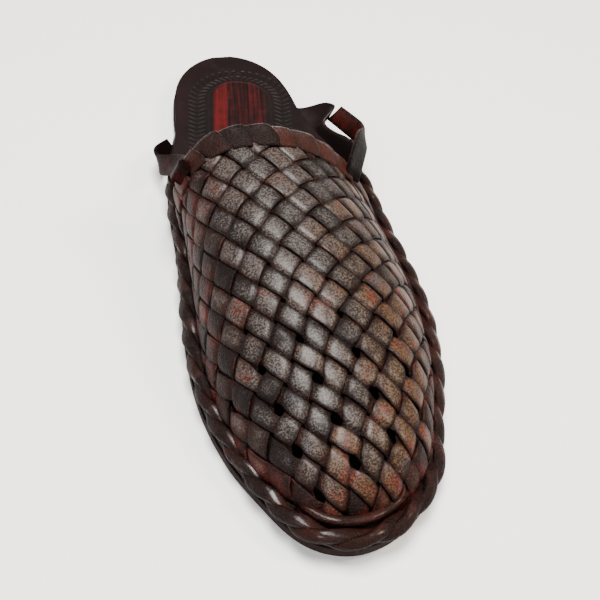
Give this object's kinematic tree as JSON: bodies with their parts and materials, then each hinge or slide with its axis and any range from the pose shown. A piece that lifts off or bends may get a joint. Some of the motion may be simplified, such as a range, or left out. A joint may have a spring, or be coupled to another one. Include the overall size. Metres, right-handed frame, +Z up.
{
  "type": "woven leather slipper",
  "caption": "Backless right slipper with a bias-plaited leather vamp, plaited edge, side straps and a flat leather sole.",
  "frame": {"origin": "bottom centre of the bounding box, on the floor", "axes": "+Y from the toe towards the heel, +Z up, +X towards the big-toe side"},
  "size_m": [0.0998, 0.275, 0.0599],
  "materials": {
    "woven_leather": "satin, dark brown with worn highlights",
    "edge_leather": "satin, very dark brown",
    "insole_leather": "smooth, dark brown with a red middle",
    "sole_leather": "matte, red-brown cut edge"
  },
  "bodies": {
    "root": {"outsole": "sole_leather", "insole": "insole_leather", "upper": "woven_leather", "edge_braid": "edge_leather", "strap_medial": "woven_leather", "strap_lateral": "woven_leather"}
  },
  "joints": []
}
